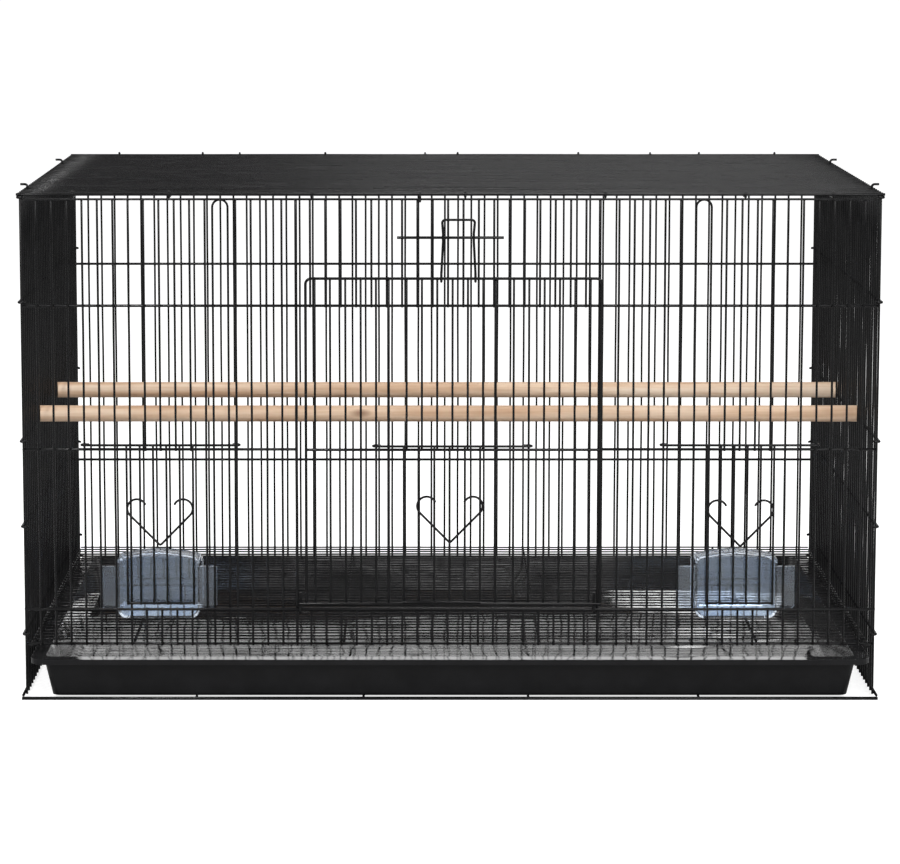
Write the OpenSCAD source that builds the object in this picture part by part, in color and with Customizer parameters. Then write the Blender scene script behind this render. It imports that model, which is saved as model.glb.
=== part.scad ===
// Flight cage of welded wire with a drop-down front door, three sliding doors,
// two feeder cups, two perches, a floor grate and a pull-out tray.
// Millimetres. X is the width, the front faces -Y, Z is up from the table.

/* [Cage] */
// Distance between the corner wires along the front, in wire pitches
front_bays = 56; // [50:1:62]
// Distance between the corner wires along the side, in wire pitches
side_bays = 34; // [28:1:40]
// Pitch of the upright wires
pitch = 13.5; // [13:0.1:15]
// Height of the underside of the roof wires
roof_z = 450; // [440:1:500]
// Number of long wires in the roof
roof_rows = 39; // [30:1:42]
// Height of the bottom bar of the front, above the tray slot
slot_z = 48.6; // [48:0.1:60]

/* [Wires] */
// Diameter of the upright wires
wire_d = 2; // [1.6:0.1:2.2]
// Diameter of the cross rails
rail_d = 2.5; // [2:0.1:2.8]
// Diameter of the base sill wires
sill_d = 3; // [2.6:0.1:3.4]
// Diameter of the wires beside the main door opening
jamb_d = 2.7; // [2:0.1:2.8]
// Diameter of the wire of the sliding doors' bars and of the latch
bar_d = 2.2; // [1.8:0.1:2.4]
// Depth to which crossing wires are pressed together by their weld
weld = 0.05; // [0.03:0.01:0.08]
// Running gap between a moving wire and the wire it slides on
run_gap = 0.4; // [0.3:0.05:0.6]
// Gap between a hinge loop and the wire that it turns on
hinge_gap = 0.3; // [0.2:0.05:0.5]

/* [Front rails] */
// Height of the rail that the main door hangs on
hinge_z = 80.7; // [76:0.1:86]
// Height of the rail above the feeder openings
feeder_top_z = 224.3; // [200:0.1:240]
// Height of the rail above the main door opening
door_top_z = 352.6; // [330:0.1:380]
// Distance of the top rails of the front and the back below the roof wires
top_rail_drop = 2.8; // [2.7:0.1:6]
// Heights of the inner rails of the back
back_rail_z = [36, 137.2, 340.1];
// Heights of the rails of the sides
side_rail_z = [57.8, 155.2, 231.9, 356];

/* [Main door] */
// First and last upright beside the main door opening
door_bays = [18, 38];
// Sideways offsets of those two uprights
jamb_shift = [-1, -3.4];
// Sideways offset of the uprights between them
door_shift = -2; // [-3:0.5:0]
// Width of the door frame between the centres of its side bars
door_w = 261; // [254:1:262]
// Sideways offset of the door frame
frame_x = 3; // [2:0.5:4]
// Sideways offset of the door's wires
door_x = 2; // [0:0.5:3]
// Height of the door's top bar above the hinge rail
door_rise = 296.8; // [280:0.1:310]
// Height of the door's bottom rail above the hinge rail
door_foot = 5.5; // [5:0.5:8]
// Height of the door's middle rail above the hinge rail
door_mid = 144.4; // [130:0.1:150]
// Number of upright wires in the door
door_wires = 19; // [15:1:19]
// Height of the tails of the hinge hooks above the hinge rail
hook_tail = 14.5; // [8:0.5:16]
// Sideways offsets of the door's hooks from the thick uprights beside its opening
hook_shift = [3, -3.3];
// Radius of the bends at the top of the door frame
door_bend = 5; // [4:0.5:10]

/* [Latch] */
// Width of the latch bail between the centres of its legs
latch_w = 29; // [24:1:30]
// Sideways place of the middle of the latch
latch_x = 7; // [7:0.5:8]
// Height of the latch above the door's top bar
latch_rise = 52.4; // [46:0.1:60]
// Height of the bridge wire above the door's top bar
bridge_rise = 35.9; // [32:0.1:40]
// Length of the bridge wire
bridge_w = 94; // [80:0.5:110]
// Distance that the grip of the latch stands out
latch_lean = 6; // [3:0.5:10]

/* [Sliding doors] */
// Uprights beside the left feeder opening
left_bays = [7, 12];
// Uprights beside the right feeder opening
right_bays = [45, 50];
// Sideways offsets of the first wires of the left and right feeder doors
feeder_shift = [-3, -1.4];
// Uprights that the left feeder door's guide loops run on
left_guides = [4, 14];
// Uprights that the right feeder door's guide loops run on
right_guides = [42, 52];
// Number of wires in a sliding door
slide_wires = 6; // [5:1:6]
// Pitch of the wires in the feeder doors
feeder_pitch = 11.75; // [10.5:0.25:12.5]
// Wires of the main door beside the centre opening
centre_bays = [5, 12];
// Sideways offset of the centre opening and its door
centre_shift = -2.5; // [-3:0.5:1]
// Wires of the main door that the centre door's guide loops run on
centre_guides = [4, 14];
// Height of a feeder door's top bar above the feeder rail
bar_rise = 4.4; // [2.8:0.1:5]
// Height of a feeder door's bottom bar above the hinge rail
bar_foot = 5.6; // [3.4:0.1:7]
// Height of the centre door's top bar above the door's middle rail
centre_rise = 3.1; // [2.8:0.1:5]
// Height of the centre door's bottom bar above the hinge rail
centre_foot = 8; // [7.5:0.5:14]
// Length of the tails of the guide loops
loop_tail = 4; // [2:0.5:6]

/* [Heart pulls] */
// Heights of the middles of the left, centre and right heart pulls above the hinge rail
heart_rise = [79.5, 82.4, 78.5];
// Sideways offset of the centre heart pull from the middle of its door
heart_shift = 7; // [0:0.5:10]
// Width of a heart pull between the outer wire centres
heart_w = 58; // [40:1:60]
// Radius of a heart's lobes
heart_r = 8.5; // [6:0.5:12]
// Height of a heart pull between wire centres
heart_h = 41.5; // [34:0.5:50]
// Angle above level at which the curl of a lobe ends
heart_end = 24; // [0:2:60]

/* [Roof and base] */
// Places of the roof's cross wires
roof_cross_x = [-332, -247, -122, 13, 136, 259, 336];
// Distance that the base stands out in front of the front corner wires
base_reach = 10; // [4:1:12]
// Places of the base's cross wires
base_cross_x = [-226, -77, 70, 222];
// Places of the rings that tie the roof to the back
ring_x = [-209.25, -20.25, 209.25];
// Place of the clip that ties the roof to the front
clip_x = -26.6; // [-26.8:0.1:-18]
// Depth of the front roof hooks from the front corner wires
hook_front = 57; // [56.6:0.1:57.8]
// Depth of the rear roof hooks from the front corner wires
hook_rear = 344.2; // [343.8:0.1:344.8]
// Height of the roof hooks above the roof's underside
hook_rise = 5.5; // [4.5:0.5:9]
// Distance that the roof hooks stand out
hook_reach = 6.5; // [5:0.5:9]

/* [Tray and grate] */
// Gap from the tray's lip to the middles of the side wires
tray_gap = 5.5; // [4:0.5:12]
// Height of the tray
tray_h = 36.4; // [30:0.1:37.5]
// Slope of the tray's walls, as a width
tray_slope = 7; // [5:0.5:10]
// Thickness of the tray's wall
tray_wall = 2.2; // [1.5:0.1:3]
// Width of the tray's lip
lip_w = 10.5; // [8:0.5:12]
// Thickness of the tray's lip
lip_t = 4.8; // [3:0.1:6]
// Radius of the corners of the tray's lip
tray_r = 12; // [6:1:20]
// Radius of the corners of the tray's walls
wall_r = 8; // [5:1:14]
// Distance that the tray's lip stands out in front of the front corner wires
tray_reach = 24; // [16:1:26]
// Distance from the tray's lip to the back corner wires
tray_back = 8; // [5:1:16]
// Distance from the front corner wires to the front wire of the grate
grate_gap = 34; // [5:1:40]
// Diameter of the grate's long wires
grate_d = 1.5; // [1.3:0.1:2.2]
// Number of long wires in the grate
grate_rows = 37; // [30:1:40]
// Places of the grate's cross wires
grate_cross_x = [-284, -95, 81, 277];

/* [Feeder cups] */
// Width of a cup's body
cup_w = 73; // [66:1:78]
// Depth of a cup's body
cup_d = 50; // [40:1:60]
// Height of a cup's body up to its rim
cup_h = 46; // [40:0.5:60]
// Height of the hood's arch above the rim
hood_h = 12.5; // [8:0.5:16]
// Height of the curve along the top of the hood
hood_crown = 5; // [3:0.5:6]
// Depth of the hood
hood_d = 26; // [18:1:34]
// Thickness of a cup's walls
cup_wall = 1.8; // [1.2:0.1:2.4]
// Depth by which the front plate stands proud of the body
plate_step = 0.8; // [0.4:0.1:1.2]
// Width of the front plate's wings beside the body
wing_w = 15.5; // [8:0.5:17]
// Height of the front plate
wing_h = 38.5; // [30:0.5:44]
// Distance from the cup's floor to the ledge that it hangs by
ledge_drop = 10.5; // [8:0.5:14]
// Width of the ledge
ledge_w = 58; // [40:1:60]
// Sideways offsets of the left and right cups from the middle of their openings
cup_shift = [9.8, 8];

/* [Perches] */
// Diameter of a perch
perch_d = 15; // [13:0.5:16]
// Height of the perches' axes above the side rail that they rest on
perch_rise = 4.8; // [3:0.1:6.5]
// Side bay that holds the front perch
front_perch_bay = 9; // [4:1:12]
// Side bay that holds the rear perch
rear_perch_bay = 20; // [16:1:30]
// Length of the perch beyond the side wires
perch_nose = 5.4; // [3:0.1:6]

/* [Hidden] */
$fn = 24;

black = [0.05, 0.05, 0.06];
clear_blue = [0.72, 0.8, 0.92, 0.4];
pale_wood = [0.8, 0.66, 0.48];
plastic_black = [0.03, 0.03, 0.035];

// Half the width between corner wires, and the planes of the front and back
half_w = front_bays * pitch / 2;
cage_d = side_bays * pitch;

// How far apart two crossing welded wires lie
function welded(a, b) = (a + b) / 2 - weld;

// Layers in front of the front uprights, measured outwards
rail_out = welded(wire_d, rail_d);
slide_out = wire_d / 2 + run_gap + bar_d / 2;
slide_wire_out = slide_out + welded(bar_d, wire_d);
heart_out = slide_wire_out + welded(wire_d, wire_d);
hinge_r = rail_d / 2 + hinge_gap + rail_d / 2;
door_out = rail_out + hinge_r;
door_wire_out = door_out - welded(rail_d, wire_d);
door_jamb_d = rail_d;
door_jamb_out = door_out - welded(rail_d, door_jamb_d);
centre_wire_out = door_out + rail_d / 2 + run_gap + wire_d / 2;
centre_bar_out = centre_wire_out - welded(wire_d, bar_d);
centre_foot_out = centre_wire_out + welded(wire_d, bar_d);
centre_heart_out = centre_wire_out + welded(wire_d, wire_d);
latch_r = rail_d / 2 + hinge_gap + bar_d / 2;
latch_rest_out = rail_out + rail_d / 2 + run_gap + bar_d / 2;

// Rings that tie the edge wires of the roof to the top rails
edge_z = roof_z + rail_d / 2;
top_rail_z = roof_z - top_rail_drop;
tie_d = 1.8;
tie_out = welded(wire_d, wire_d);
tie_span = norm([tie_out, edge_z - top_rail_z]);
tie_r = (tie_span + rail_d / 2 + wire_d / 2 - weld + tie_d) / 2;

// The origin is midway between the foremost and the rearmost point
front_reach = max(latch_rest_out + latch_lean + bar_d / 2, tray_reach,
    base_reach + sill_d / 2);
back_reach = tie_out * (tie_r - tie_d / 2 + weld / 2 - rail_d / 2) / tie_span + tie_r + tie_d / 2;
front_y = (front_reach - back_reach - cage_d) / 2;
back_y = front_y + cage_d;

door_z = hinge_z + door_rise;
sill_z = sill_d / 2;
side_x = half_w + rail_out;
upright_top = roof_z - bar_d - 0.15;
corner_top = roof_z - 0.3;
upright_foot = slot_z - 1.2;

function bay_x(i) = i * pitch - half_w;
function hook_x(k) = bay_x(door_bays[k]) + jamb_shift[k] + hook_shift[k];
function door_wire_x(k) = door_x + (k - (door_wires - 1) / 2) * pitch;
function unit(v) = v / norm(v);

// A straight round wire between two points
module wire(from, to, d) {
    along = unit(to - from);
    other = abs(along[2]) > 0.9 ? [1, 0, 0] : [0, 0, 1];
    u = unit(cross(other, along));
    v = cross(along, u);
    multmatrix([
        [u[0], v[0], along[0], from[0]],
        [u[1], v[1], along[1], from[1]],
        [u[2], v[2], along[2], from[2]]
    ])
        cylinder(d = d, h = norm(to - from));
}

// Length and thickness by which a bend ends inside the straight wires beside it
bend_lap = 0.15;
bend_thin = 0.04;
// Half the straight that is left in the middle of a U-turn
bend_gap = 0.2;

// A round bend that starts at a point, heads along a and turns about an axis
module bend(start, a, axis, r, angle, d) {
    x_dir = cross(a, axis);
    centre = start - r * x_dir;
    lap = bend_lap / r * 180 / PI;
    multmatrix([
        [x_dir[0], a[0], axis[0], centre[0]],
        [x_dir[1], a[1], axis[1], centre[1]],
        [x_dir[2], a[2], axis[2], centre[2]]
    ])
        rotate([0, 0, -lap])
            rotate_extrude(angle = angle + 2 * lap)
                translate([r, 0])
                    circle(d = d - bend_thin);
}

// One wire through a list of corners, each rounded to its own radius
module bent_wire(points, radii, d) {
    last = len(points) - 1;
    dirs = [for (i = [0:last - 1]) unit(points[i + 1] - points[i])];
    turns = [for (i = [0:last]) i == 0 || i == last ? 0 : acos(dirs[i - 1] * dirs[i])];
    trims = [for (i = [0:last]) turns[i] > 0 ? radii[i] * tan(turns[i] / 2) : 0];
    for (i = [0:last - 1]) {
        from = points[i] + dirs[i] * trims[i];
        to = points[i + 1] - dirs[i] * trims[i + 1];
        if (norm(to - from) > 0.01)
            wire(from, to, d);
    }
    for (i = [1:last - 1])
        bend(points[i] - dirs[i - 1] * trims[i], dirs[i - 1],
            unit(cross(dirs[i - 1], dirs[i])), radii[i], turns[i], d);
}

module rail_x(x0, x1, y, z, d = rail_d) {
    wire([x0, y, z], [x1, y, z], d);
}

module rail_y(x, y0, y1, z, d = rail_d) {
    wire([x, y0, z], [x, y1, z], d);
}

module upright(x, y, z0, z1, d = wire_d) {
    wire([x, y, z0], [x, y, z1], d);
}

function between(i, pair) = i > pair[0] && i < pair[1];
left_hairpin = left_bays[1] + 1;
right_hairpin = right_bays[0] - 0.5;
hairpin_r = pitch / 2;

// Front panel
module front_uprights() {
    stub_top = hinge_z + rail_d / 2 - weld;
    color(black)
        for (i = [0:front_bays]) {
            x = bay_x(i) + (between(i, door_bays) ? door_shift : 0);
            corner = i == 0 || i == front_bays;
            jamb = i == door_bays[0] || i == door_bays[1];
            hairpin = i == left_hairpin || abs(i - right_hairpin) == 0.5;
            door = between(i, door_bays);
            feeder = between(i, left_bays) || between(i, right_bays);
            if (door || feeder) {
                upright(x, front_y, upright_foot, stub_top);
                upright(x, front_y, (door ? door_top_z : feeder_top_z) - rail_d / 2, upright_top);
            } else if (!jamb && !hairpin)
                upright(x, front_y, corner ? sill_d : upright_foot,
                    corner ? corner_top : upright_top);
        }
}

module front_door_jambs() {
    color(black)
        for (k = [0, 1])
            upright(bay_x(door_bays[k]) + jamb_shift[k], front_y, upright_foot, upright_top,
                jamb_d - 2 * weld);
}

module front_inner_rails() {
    y = front_y + rail_out;
    color(black) {
        rail_x(-half_w, half_w, y, slot_z);
        rail_x(-half_w, half_w, y, door_top_z);
        rail_x(-half_w, bay_x(door_bays[0]) + jamb_shift[0], y, feeder_top_z);
        rail_x(bay_x(door_bays[1]) + jamb_shift[1], half_w, y, feeder_top_z);
    }
}

corner_gap = rail_out + rail_d / 2 + 0.3;

module front_top_rail() {
    color(black)
        rail_x(corner_gap - half_w, half_w - corner_gap, front_y - welded(wire_d, wire_d),
            top_rail_z, wire_d);
}

module door_hinge_rail() {
    color(black)
        rail_x(-half_w, half_w, front_y - rail_out, hinge_z);
}

module latch_bridge_wire() {
    color(black)
        rail_x(-bridge_w / 2, bridge_w / 2, front_y - rail_out, door_z + bridge_rise);
}

module front_hairpins() {
    color(black)
        for (i = [left_hairpin, right_hairpin]) {
            x = bay_x(i);
            top = upright_top - wire_d / 2;
            bent_wire([
                [x - hairpin_r, front_y, upright_foot],
                [x - hairpin_r, front_y, top],
                [x + hairpin_r, front_y, top],
                [x + hairpin_r, front_y, upright_foot]
            ], [0, hairpin_r - bend_gap, hairpin_r - bend_gap, 0], wire_d);
        }
}

// Back panel
module back_uprights() {
    color(black)
        for (i = [0:front_bays])
            upright(bay_x(i), back_y, sill_d - weld,
                i == 0 || i == front_bays ? corner_top : upright_top);
}

module back_inner_rails() {
    color(black)
        for (z = back_rail_z)
            rail_x(-half_w, half_w, back_y - rail_out, z);
}

module back_top_rail() {
    color(black)
        rail_x(corner_gap - half_w, half_w - corner_gap, back_y + welded(wire_d, wire_d),
            top_rail_z, wire_d);
}

// Side panels
side_top_z = roof_z + weld - rail_d / 2;
side_levels = concat(side_rail_z, [side_top_z]);

module side_uprights(side) {
    color(black)
        for (k = [1:side_bays - 1])
            upright(side * half_w, front_y + k * pitch, sill_d, corner_top);
}

module side_rails(side) {
    color(black)
        for (z = side_levels) {
            rail_y(side * side_x, front_y, back_y, z);
            bend([side * side_x, front_y, z], [0, -1, 0], [0, 0, -side], rail_out, 180, rail_d);
            bend([side * side_x, back_y, z], [0, 1, 0], [0, 0, side], rail_out, 180, rail_d);
        }
}

// Roof
roof_cross_z = roof_z + weld - bar_d / 2;

module roof_long_wires() {
    step = cage_d / (roof_rows - 1);
    color(black)
        for (k = [0:roof_rows - 1]) {
            d = k == 0 || k == roof_rows - 1 ? rail_d : wire_d;
            rail_x(-side_x - 1.3, side_x + 1.3, front_y + k * step, roof_z + d / 2, d);
        }
}

// The cross wires run under the long wires and end in a knot round each edge wire
module roof_cross_wires() {
    r = welded(rail_d, bar_d);
    color(black)
        for (x = roof_cross_x) {
            rail_y(x, front_y, back_y, roof_cross_z, bar_d);
            bend([x, front_y, roof_cross_z], [0, -1, 0], [-1, 0, 0], r, 200, bar_d);
            bend([x, back_y, roof_cross_z], [0, 1, 0], [1, 0, 0], r, 200, bar_d);
        }
}

module roof_side_hooks() {
    x = side_x - welded(rail_d, bar_d);
    top = roof_z + hook_rise;
    color(black)
        for (side = [-1, 1], depth = [hook_front, hook_rear])
            bent_wire([
                [side * x, front_y + depth, side_top_z - 0.4],
                [side * x, front_y + depth, top],
                [side * (x + hook_reach), front_y + depth, top]
            ], [0, 2.5, 0], bar_d);
}

// A ring round the edge wire of the roof and the top rail that is out from it
module tie_ring(x, y, out) {
    t = (tie_r - tie_d / 2 + weld / 2 - rail_d / 2) / tie_span;
    translate([x, y + t * out * tie_out, edge_z + t * (top_rail_z - edge_z)])
        rotate([0, 90, 0])
            rotate_extrude()
                translate([tie_r, 0])
                    circle(d = tie_d);
}

module roof_front_clip() {
    color(black)
        tie_ring(clip_x, front_y, -1);
}

module roof_back_rings() {
    color(black)
        for (x = ring_x)
            tie_ring(x, back_y, 1);
}

// Base
base_side_z = sill_d + rail_d / 2 - weld;
base_cross_z = sill_d - bar_d / 2;
sill_half = side_x + rail_d / 2;

module base_sills() {
    color(black)
        for (y = [front_y - base_reach, back_y])
            rail_x(-sill_half, sill_half, y, sill_z, sill_d);
}

module base_side_wires() {
    color(black)
        for (side = [-1, 1])
            rail_y(side * side_x, front_y - base_reach, back_y, base_side_z);
}

module base_cross_wires() {
    reach = sill_d / 2 - weld;
    color(black)
        for (x = base_cross_x)
            rail_y(x, front_y - base_reach + reach, back_y - reach, base_cross_z, bar_d);
}

// Perches: round wood, notched at each end for two side wires and the rail below
perch_z = side_rail_z[2] + perch_rise;

module perch(bay) {
    y = front_y + (bay + 0.5) * pitch;
    neck = pitch / 2 - wire_d / 2 - 0.2;
    notch_top = side_rail_z[2] + rail_d / 2;
    color(pale_wood)
        difference() {
            rail_x(-half_w - perch_nose, half_w + perch_nose, y, perch_z, perch_d);
            for (side = [-1, 1]) {
                for (way = [-1, 1])
                    translate([side * half_w, y + way * (neck + perch_d / 2), perch_z])
                        cube([wire_d + 0.4, perch_d, perch_d * 2], center = true);
                translate([side * (half_w + perch_d / 2 + 1), y, notch_top - perch_d / 2])
                    cube([perch_d, perch_d * 2, perch_d], center = true);
            }
        }
}

module front_perch() {
    perch(front_perch_bay);
}

module rear_perch() {
    perch(rear_perch_bay);
}

// Main door: a frame that hooks round the hinge rail
door_left = frame_x - door_w / 2;
door_right = frame_x + door_w / 2;

module main_door_frame() {
    y = front_y - door_out;
    foot = hinge_z + door_foot + rail_d / 2 - weld;
    color(black)
        bent_wire([
            [door_left, y, foot], [door_left, y, door_z],
            [door_right, y, door_z], [door_right, y, foot]
        ], [0, door_bend, door_bend, 0], rail_d);
}

// Hooks that stand on the underside of the bottom rail and pass round the hinge rail
module main_door_hooks() {
    front = front_y - door_out;
    inner = front + 2 * hinge_r;
    low = hinge_z - hinge_r;
    turn = hinge_r - bend_gap;
    color(black)
        for (x = [hook_x(0), hook_x(1)])
            bent_wire([
                [x, inner, hinge_z + hook_tail], [x, inner, low],
                [x, front, low], [x, front, hinge_z + door_foot - rail_d / 2 + weld]
            ], [0, turn, turn, 0], rail_d);
}

module main_door_rails() {
    y = front_y - door_out;
    reach = rail_d / 2 - weld;
    color(black) {
        rail_x(min(door_left, hook_x(0)) - rail_d / 2, max(door_right, hook_x(1)) + rail_d / 2, y,
            hinge_z + door_foot);
        rail_x(door_left + reach, door_right - reach, y, hinge_z + door_mid);
    }
}

module main_door_wires() {
    color(black)
        for (k = [0:door_wires - 1])
            if (k != centre_bays[0] && k != centre_bays[1]) {
                foot = between(k, centre_bays) ? door_mid - 1 : door_foot - 1;
                upright(door_wire_x(k), front_y - door_wire_out, hinge_z + foot, door_z + 1);
            }
}

module main_door_jambs() {
    color(black)
        for (k = centre_bays)
            upright(door_wire_x(k) + centre_shift, front_y - door_jamb_out,
                hinge_z + door_foot - 1, door_z + 1, door_jamb_d);
}

// Latch: a bail that turns on the door's top bar and lies against the bridge wire
module door_latch() {
    y = front_y - door_out;
    rest = front_y - latch_rest_out;
    bridge = door_z + bridge_rise;
    low = door_z - latch_r;
    out = y - latch_r;
    back = y + latch_r;
    foot = latch_w / 2 + 0.5;
    waist = latch_w / 2 - 1;
    top = latch_w / 2;
    crown = door_z + latch_rise;
    half = [
        [foot, back, door_z + 6], [foot, back, low], [foot, out, low], [foot, out, door_z + 4],
        [waist, rest, bridge - 3], [waist, rest, bridge + 4], [top, rest - latch_lean, crown]
    ];
    turn = latch_r - bend_gap;
    radii = [0, turn, turn, 8, 8, 4, 3];
    points = [
        for (i = [0:6]) [latch_x - half[i][0], half[i][1], half[i][2]],
        for (i = [6:-1:0]) [latch_x + half[i][0], half[i][1], half[i][2]]
    ];
    color(black)
        bent_wire(points, concat(radii, [for (i = [6:-1:0]) radii[i]]), bar_d);
}

// A bar whose ends loop round two uprights at the depth y_guide
module guide_bar(x0, x1, y_bar, y_guide, z) {
    reach = wire_d / 2 + run_gap + bar_d / 2;
    y_back = y_guide + reach;
    r = (y_back - y_bar) / 2;
    turn = r - bend_gap;
    bent_wire([
        [x0 + loop_tail, y_back, z], [x0 - r, y_back, z], [x0 - r, y_bar, z],
        [x1 + r, y_bar, z], [x1 + r, y_back, z], [x1 - loop_tail, y_back, z]
    ], [0, turn, turn, turn, turn, 0], bar_d);
}

module centre_door_bars() {
    y = front_y - centre_bar_out;
    ends = door_span(centre_bays, pitch);
    color(black) {
        guide_bar(door_wire_x(centre_guides[0]), door_wire_x(centre_guides[1]), y,
            front_y - door_wire_out, hinge_z + door_mid + centre_rise);
        rail_x(ends[0] - 1, ends[1] + 1, front_y - centre_foot_out, hinge_z + centre_foot,
            bar_d);
    }
}

// First and last wire of the centre door
function door_span(bays, step) = [
    for (way = [-1, 1])
        (door_wire_x(bays[0]) + door_wire_x(bays[1]) + way * (slide_wires - 1) * step) / 2
            + centre_shift
];

module centre_door_wires() {
    ends = door_span(centre_bays, pitch);
    top = hinge_z + door_mid + centre_rise + 1;
    color(black)
        for (k = [0:slide_wires - 1])
            upright(ends[0] + k * pitch, front_y - centre_wire_out, hinge_z + centre_foot - 1, top);
}

// Feeder doors: wires in front of the opening, on bars that loop round the uprights
module feeder_door_bars(bays, guides, shift) {
    x0 = bay_x(bays[0]) + shift;
    y = front_y - slide_out;
    color(black) {
        guide_bar(bay_x(guides[0]), bay_x(guides[1]), y, front_y, feeder_top_z + bar_rise);
        rail_x(x0 - 1, x0 + (slide_wires - 1) * feeder_pitch + 1, y, hinge_z + bar_foot, bar_d);
    }
}

module feeder_door_wires(bays, shift) {
    color(black)
        for (k = [0:slide_wires - 1])
            upright(bay_x(bays[0]) + shift + k * feeder_pitch, front_y - slide_wire_out,
                hinge_z + bar_foot - 1, feeder_top_z + bar_rise + 1);
}

// An open heart bent from one wire, its tip down
module heart(x, y, z) {
    c = [heart_w / 2 - heart_r, heart_h - heart_r];
    span = norm(c);
    slope = atan2(c[1], c[0]) - asin(heart_r / span);
    run = sqrt(span * span - heart_r * heart_r);
    tip = 1.5;
    trim = tip * tan(90 - slope);
    foot = z - heart_h / 2;
    for (side = [-1, 1]) {
        dir = [side * cos(slope), 0, sin(slope)];
        end = [x, y, foot] + run * dir;
        wire([x, y, foot] + trim * dir, end, wire_d);
        bend(end, dir, [0, -side, 0], heart_r, 270 - slope - heart_end, wire_d);
    }
    bend([x, y, foot] + trim * [-cos(slope), 0, sin(slope)], [cos(slope), 0, -sin(slope)],
        [0, -1, 0], tip, 2 * slope, wire_d);
}

module centre_heart_pull() {
    ends = door_span(centre_bays, pitch);
    color(black)
        heart((ends[0] + ends[1]) / 2 + heart_shift, front_y - centre_heart_out,
            hinge_z + heart_rise[1]);
}

module feeder_heart(bays, shift, rise) {
    color(black)
        heart(bay_x(bays[0]) + shift + (slide_wires - 1) * feeder_pitch / 2, front_y - heart_out,
            hinge_z + rise);
}

// Grate: long wires on top of cross wires, under the front's bottom bar
grate_z = slot_z - rail_d / 2 - 1.05 - grate_d / 2;
grate_cross_z = grate_z - welded(grate_d, rail_d);
grate_front = front_y + grate_gap;
grate_back = back_y - rail_out - rail_d / 2 - 1;
runner_x = half_w - welded(wire_d, rail_d);

module grate_runners() {
    color(black)
        for (side = [-1, 1])
            rail_y(side * runner_x, front_y + pitch, back_y - pitch,
                grate_z - grate_d / 2 - run_gap - rail_d / 2);
}

module grate_long_wires() {
    step = (grate_back - grate_front) / (grate_rows - 1);
    color(black)
        for (k = [0:grate_rows - 1])
            rail_x(-runner_x, runner_x, grate_front + k * step, grate_z, grate_d);
}

module grate_cross_wires() {
    color(black)
        for (x = grate_cross_x)
            rail_y(x, grate_front - 1, grate_back + 1, grate_cross_z);
}

// Tray: sloping walls, round corners and a thick lip
tray_z = sill_d + run_gap + 0.1;
tray_w = 2 * (half_w - tray_gap);
tray_y0 = front_y - tray_reach;
tray_y1 = back_y - tray_back;

module tray_slab(inset, z, h, r) {
    x = tray_w / 2 - inset;
    y0 = tray_y0 + inset;
    y1 = tray_y1 - inset;
    for (cx = [r - x, x - r], cy = [y0 + r, y1 - r])
        translate([cx, cy, z])
            cylinder(r = r, h = h);
}

module tray() {
    top = tray_z + tray_h;
    color(plastic_black)
        difference() {
            union() {
                hull() {
                    tray_slab(lip_w, top - 1, 1, wall_r);
                    tray_slab(lip_w + tray_slope, tray_z, 1, wall_r);
                }
                hull()
                    tray_slab(0, top - lip_t, lip_t, tray_r);
            }
            hull() {
                tray_slab(lip_w + tray_wall, top, 1, wall_r - tray_wall);
                tray_slab(lip_w + tray_wall + tray_slope, tray_z + tray_wall, 1,
                    wall_r - tray_wall);
            }
        }
}

// Feeder cup: body, arched hood, a wide front plate behind the uprights and a ledge on the stubs
module round_foot(w, h, r) {
    translate([-w / 2, r])
        square([w, h - r]);
    translate([r - w / 2, 0])
        square([w - 2 * r, r]);
    for (x = [r - w / 2, w / 2 - r])
        translate([x, r])
            circle(r = r);
}

// A flat-topped arch with round shoulders
module arch(w, h) {
    r = h - hood_crown;
    big_r = (w * w / 4 + hood_crown * hood_crown) / (2 * hood_crown);
    intersection() {
        translate([0, h - big_r])
            circle(r = big_r);
        union() {
            translate([-w / 2, 0])
                square([w, h - r]);
            translate([r - w / 2, 0])
                square([w - 2 * r, h]);
            for (x = [r - w / 2, w / 2 - r])
                translate([x, h - r])
                    circle(r = r);
        }
    }
}

// Extrudes an outline drawn in X and Z towards +Y
module along_y(y0, y1) {
    translate([0, y1, 0])
        rotate([90, 0, 0])
            linear_extrude(y1 - y0)
                children();
}

module cup_outline(inset) {
    translate([0, inset])
        round_foot(cup_w - 2 * inset, cup_h - inset, 8 - inset);
    translate([0, cup_h - 0.01])
        arch(cup_w - 2 * inset, hood_h - inset);
}

module feeder_cup(bays, shift) {
    face = front_y + wire_d / 2 + run_gap;
    front = face + plate_step;
    floor_z = hinge_z + rail_d / 2 + run_gap - ledge_drop;
    translate([(bay_x(bays[0]) + bay_x(bays[1])) / 2 - shift, 0, floor_z])
        color(clear_blue)
            union() {
                difference() {
                    union() {
                        along_y(front, face + cup_d)
                            round_foot(cup_w, cup_h, 8);
                        along_y(front, face + hood_d)
                            cup_outline(0);
                        along_y(face, face + cup_wall)
                            translate([0, cup_h - wing_h + 1])
                                round_foot(cup_w + 2 * wing_w, wing_h, 5);
                    }
                    along_y(front + cup_wall, face + hood_d + 1)
                        cup_outline(cup_wall);
                    along_y(front + cup_wall, face + cup_d - cup_wall)
                        translate([0, cup_wall])
                            round_foot(cup_w - 2 * cup_wall, cup_h, 8 - cup_wall);
                }
                translate([shift, 0, 0])
                    along_y(front_y - wire_d / 2, face + 0.5)
                        translate([-ledge_w / 2, ledge_drop])
                            square([ledge_w, 2]);
            }
}

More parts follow.
